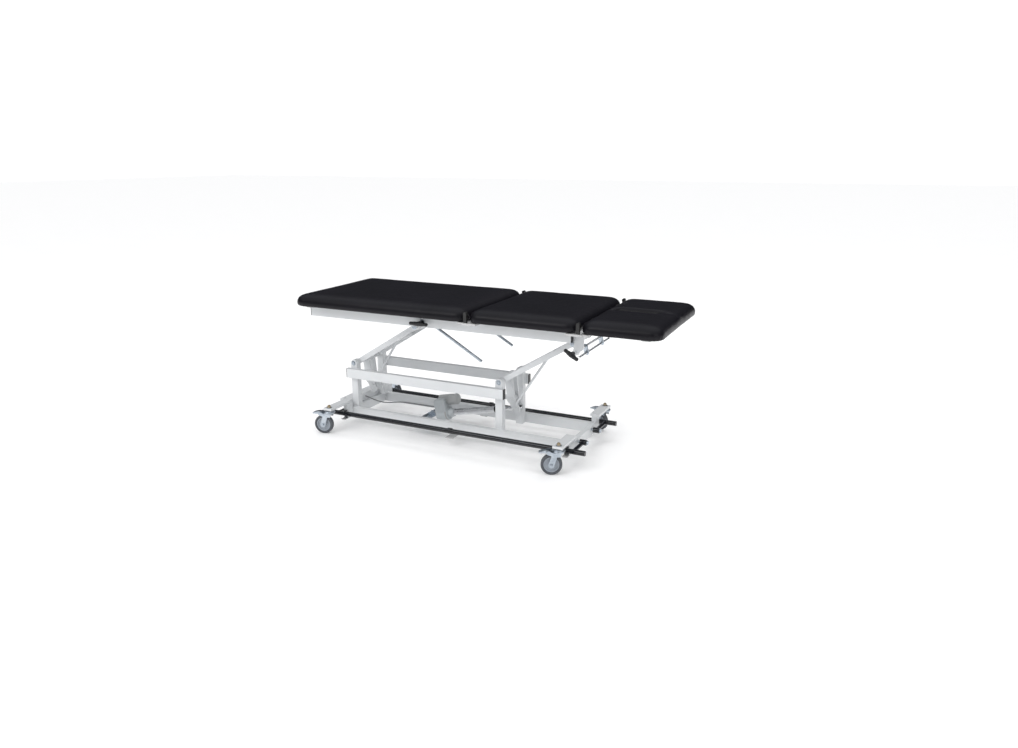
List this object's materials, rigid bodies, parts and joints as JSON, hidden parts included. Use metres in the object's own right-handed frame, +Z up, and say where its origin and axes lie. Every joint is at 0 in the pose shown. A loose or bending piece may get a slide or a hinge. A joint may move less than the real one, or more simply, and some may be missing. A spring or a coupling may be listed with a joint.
{
  "type": "examination couch",
  "caption": "Hi-lo examination couch with three padded sections on a white parallelogram lift frame, side activator bars and swivel casters.",
  "frame": {"origin": "on the floor under the middle of the top", "axes": "+X along the couch from the leg end to the head end, +Y across it, +Z up"},
  "size_m": [1.93, 0.7526, 0.73],
  "materials": {
    "white_enamel": "satin",
    "light_grey_enamel": "satin",
    "zinc_plate": "satin",
    "steel_rod": "polished",
    "aluminium_tube": "satin",
    "grey_plastic": "satin",
    "black_plastic": "satin",
    "black_enamel": "gloss",
    "black_vinyl": "satin",
    "plywood": "matte",
    "caster_rubber": "matte"
  },
  "bodies": {
    "root": {"lower_rail_near": "white_enamel", "lower_rail_far": "white_enamel", "leg_cross_tube": "white_enamel", "head_cross_tube": "white_enamel", "leg_outrigger": "white_enamel", "head_outriggers": "white_enamel", "leg_posts": "white_enamel", "head_posts": "white_enamel", "upper_rail_near": "white_enamel", "upper_rail_far": "white_enamel", "rail_caps": "black_plastic", "kingpins": "zinc_plate", "lower_pivot_bolts": "zinc_plate", "bar_pivot_bolts": "zinc_plate", "actuator_mount": "zinc_plate", "bar_stops": "light_grey_enamel", "actuator_cable": "black_plastic"},
    "leg_lift_arm": {"leg_arm": "white_enamel", "leg_lever": "white_enamel"},
    "head_lift_arm": {"head_arm": "white_enamel", "head_lever": "white_enamel"},
    "link": {"link_rod": "white_enamel"},
    "actuator": {"actuator_motor": "grey_plastic", "actuator_tube": "aluminium_tube"},
    "ram": {"actuator_rod": "steel_rod"},
    "top_frame": {"top_rail_near": "white_enamel", "top_rail_far": "white_enamel", "top_cross_tubes": "white_enamel", "leg_arm_brackets": "white_enamel", "head_arm_brackets": "white_enamel", "top_rail_caps": "black_plastic", "end_bracket_near": "white_enamel", "end_bracket_far": "white_enamel", "strut_guides": "zinc_plate", "seat_deck": "light_grey_enamel", "seat_board": "plywood", "seat_pad": "black_vinyl"},
    "leg_section": {"leg_deck": "light_grey_enamel", "leg_board": "plywood", "leg_pad": "black_vinyl"},
    "strut": {"strut_pair": "zinc_plate"},
    "head_section": {"head_deck": "light_grey_enamel", "head_board": "plywood", "head_pad": "black_vinyl"},
    "lock_handle": {"leg_lock_handle": "black_plastic"},
    "release_lever": {"head_release_lever": "zinc_plate"},
    "near_activator": {"near_bar": "black_enamel"},
    "far_activator": {"far_bar": "black_enamel"},
    "caster_1_swivel": {"caster_1_fork": "zinc_plate"},
    "caster_1_roll": {"caster_1_wheel": "caster_rubber"},
    "caster_1_pedal": {"caster_1_brake": "black_plastic"},
    "caster_2_swivel": {"caster_2_fork": "zinc_plate"},
    "caster_2_roll": {"caster_2_wheel": "caster_rubber"},
    "caster_2_pedal": {"caster_2_brake": "black_plastic"},
    "caster_3_swivel": {"caster_3_fork": "zinc_plate"},
    "caster_3_roll": {"caster_3_wheel": "caster_rubber"},
    "caster_3_pedal": {"caster_3_brake": "black_plastic"},
    "caster_4_swivel": {"caster_4_fork": "zinc_plate"},
    "caster_4_roll": {"caster_4_wheel": "caster_rubber"},
    "caster_4_pedal": {"caster_4_brake": "black_plastic"}
  },
  "joints": [
    {"name": "lift", "type": "hinge", "parent": "root", "child": "head_lift_arm", "pos_m": [0.116, 0, 0.34], "axis": [0, -1, 0], "range_deg": [-35, 36]},
    {"name": "leg_arm_swing", "type": "hinge", "parent": "root", "child": "leg_lift_arm", "pos_m": [-0.749, 0, 0.34], "axis": [0, -1, 0], "range_deg": [-35.5, 36.5]},
    {"name": "top_level", "type": "hinge", "parent": "head_lift_arm", "child": "top_frame", "pos_m": [0.48605, 0, 0.56676], "axis": [0, -1, 0], "range_deg": [-36.5, 35.5]},
    {"name": "link_level", "type": "hinge", "parent": "head_lift_arm", "child": "link", "pos_m": [0.13, 0, 0.224], "axis": [0, -1, 0], "range_deg": [-36.5, 35.5]},
    {"name": "actuator_tilt", "type": "hinge", "parent": "root", "child": "actuator", "pos_m": [-0.334, 0, 0.073], "axis": [0, -1, 0], "range_deg": [-2, 2]},
    {"name": "actuator_extend", "type": "slide", "parent": "actuator", "child": "ram", "axis": [0.9789, 0, 0.2045], "range_m": [-0.1, 0.102]},
    {"name": "leg_section_tilt", "type": "hinge", "parent": "top_frame", "child": "leg_section", "pos_m": [0.0385, 0, 0.711], "axis": [0, 1, 0], "range_deg": [0, 48]},
    {"name": "strut_swing", "type": "hinge", "parent": "leg_section", "child": "strut", "pos_m": [-0.294, 0, 0.645], "axis": [0, 1, 0], "range_deg": [-1, 17]},
    {"name": "head_section_tilt", "type": "hinge", "parent": "top_frame", "child": "head_section", "pos_m": [0.5925, 0, 0.711], "axis": [0, -1, 0], "range_deg": [-5, 45]},
    {"name": "lock_handle_turn", "type": "hinge", "parent": "top_frame", "child": "lock_handle", "pos_m": [-0.241, 0, 0.63], "axis": [0, 1, 0], "range_deg": [-35, 35]},
    {"name": "release_lever_turn", "type": "hinge", "parent": "top_frame", "child": "release_lever", "pos_m": [0.548, 0, 0.562], "axis": [0, 1, 0], "range_deg": [-12, 12]},
    {"name": "near_bar_press", "type": "hinge", "parent": "root", "child": "near_activator", "pos_m": [0, -0.095, 0.083], "axis": [1, 0, 0], "range_deg": [-2.5, 2.5], "stiffness_Nm_per_rad": 1500, "springref_deg": -0.32},
    {"name": "far_bar_press", "type": "hinge", "parent": "root", "child": "far_activator", "pos_m": [0, 0.095, 0.083], "axis": [1, 0, 0], "range_deg": [-2.5, 2.5], "stiffness_Nm_per_rad": 1500, "springref_deg": 0.32},
    {"name": "caster_1_turn", "type": "hinge", "parent": "root", "child": "caster_1_swivel", "pos_m": [-0.782, -0.327, 0.125], "axis": [0, 0, 1], "continuous": true},
    {"name": "caster_1_spin", "type": "hinge", "parent": "caster_1_swivel", "child": "caster_1_roll", "pos_m": [-0.81291, -0.33528, 0.05], "axis": [-0.2588, 0.9659, 0], "continuous": true},
    {"name": "caster_1_press", "type": "hinge", "parent": "caster_1_swivel", "child": "caster_1_pedal", "pos_m": [-0.82643, -0.33891, 0.11], "axis": [0.2588, -0.9659, 0], "range_deg": [0, 3]},
    {"name": "caster_2_turn", "type": "hinge", "parent": "root", "child": "caster_2_swivel", "pos_m": [-0.782, 0.327, 0.125], "axis": [0, 0, 1], "continuous": true},
    {"name": "caster_2_spin", "type": "hinge", "parent": "caster_2_swivel", "child": "caster_2_roll", "pos_m": [-0.81291, 0.33528, 0.05], "axis": [0.2588, 0.9659, 0], "continuous": true},
    {"name": "caster_2_press", "type": "hinge", "parent": "caster_2_swivel", "child": "caster_2_pedal", "pos_m": [-0.82643, 0.33891, 0.11], "axis": [-0.2588, -0.9659, 0], "range_deg": [0, 3]},
    {"name": "caster_3_turn", "type": "hinge", "parent": "root", "child": "caster_3_swivel", "pos_m": [0.512, -0.327, 0.125], "axis": [0, 0, 1], "continuous": true},
    {"name": "caster_3_spin", "type": "hinge", "parent": "caster_3_swivel", "child": "caster_3_roll", "pos_m": [0.48233, -0.33899, 0.05], "axis": [-0.3746, 0.9272, 0], "continuous": true},
    {"name": "caster_3_press", "type": "hinge", "parent": "caster_3_swivel", "child": "caster_3_pedal", "pos_m": [0.46935, -0.34423, 0.11], "axis": [0.3746, -0.9272, 0], "range_deg": [0, 3]},
    {"name": "caster_4_turn", "type": "hinge", "parent": "root", "child": "caster_4_swivel", "pos_m": [0.512, 0.327, 0.125], "axis": [0, 0, 1], "continuous": true},
    {"name": "caster_4_spin", "type": "hinge", "parent": "caster_4_swivel", "child": "caster_4_roll", "pos_m": [0.48233, 0.33899, 0.05], "axis": [0.3746, 0.9272, 0], "continuous": true},
    {"name": "caster_4_press", "type": "hinge", "parent": "caster_4_swivel", "child": "caster_4_pedal", "pos_m": [0.46935, 0.34423, 0.11], "axis": [-0.3746, -0.9272, 0], "range_deg": [0, 3]}
  ],
  "couplings": [
    {"joint": "leg_arm_swing", "follows": "lift", "ratio": 1},
    {"joint": "top_level", "follows": "lift", "ratio": -1},
    {"joint": "link_level", "follows": "lift", "ratio": -1},
    {"joint": "actuator_tilt", "follows": "lift", "ratio": 0.02},
    {"joint": "actuator_extend", "follows": "lift", "m_per_rad": 0.1587},
    {"joint": "strut_swing", "follows": "leg_section_tilt", "ratio": 0.33}
  ]
}
